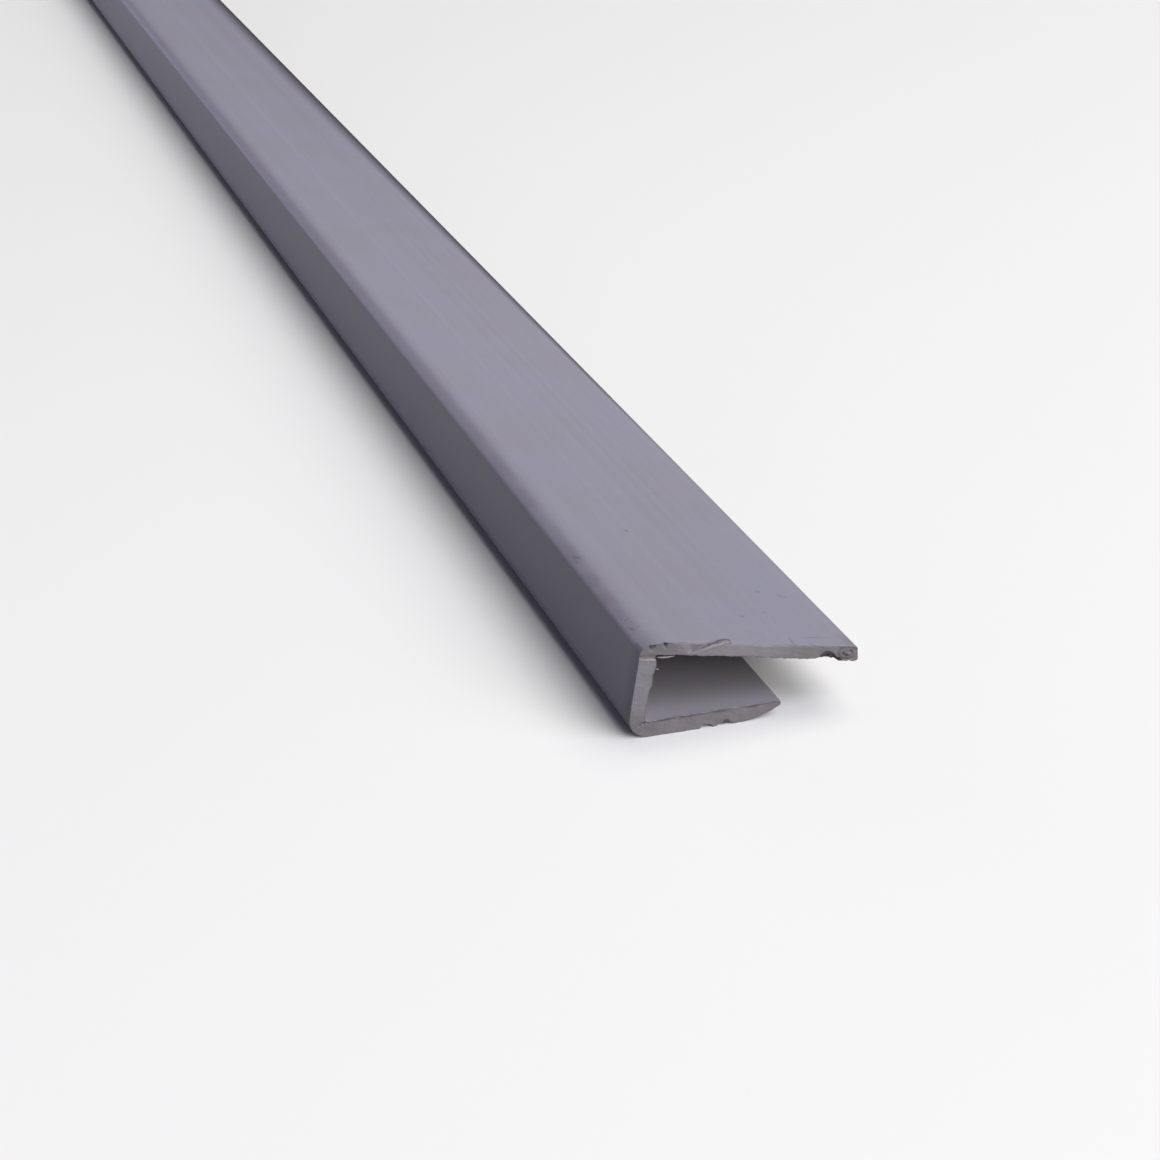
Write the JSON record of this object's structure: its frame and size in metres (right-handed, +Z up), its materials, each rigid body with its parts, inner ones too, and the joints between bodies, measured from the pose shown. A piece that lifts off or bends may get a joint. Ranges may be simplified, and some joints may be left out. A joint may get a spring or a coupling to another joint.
{
  "type": "pvc edge trim",
  "caption": "Length of rigid PVC edge trim with a J-shaped section: a wide flange, a web, and a shorter sloping lip that grips a panel's edge.",
  "frame": {"origin": "on the level floor under the middle of the trim, at the centre of its bounding box's bottom", "axes": "+Y along the length, away from the rough-cut end; +Z up as the trim lies on its lip; +X from the web towards the flange's free edge"},
  "size_m": [0.0262, 1, 0.0108],
  "materials": {
    "rigid_pvc": "satin"
  },
  "bodies": {
    "root": {"edge_trim": "rigid_pvc"}
  },
  "joints": []
}
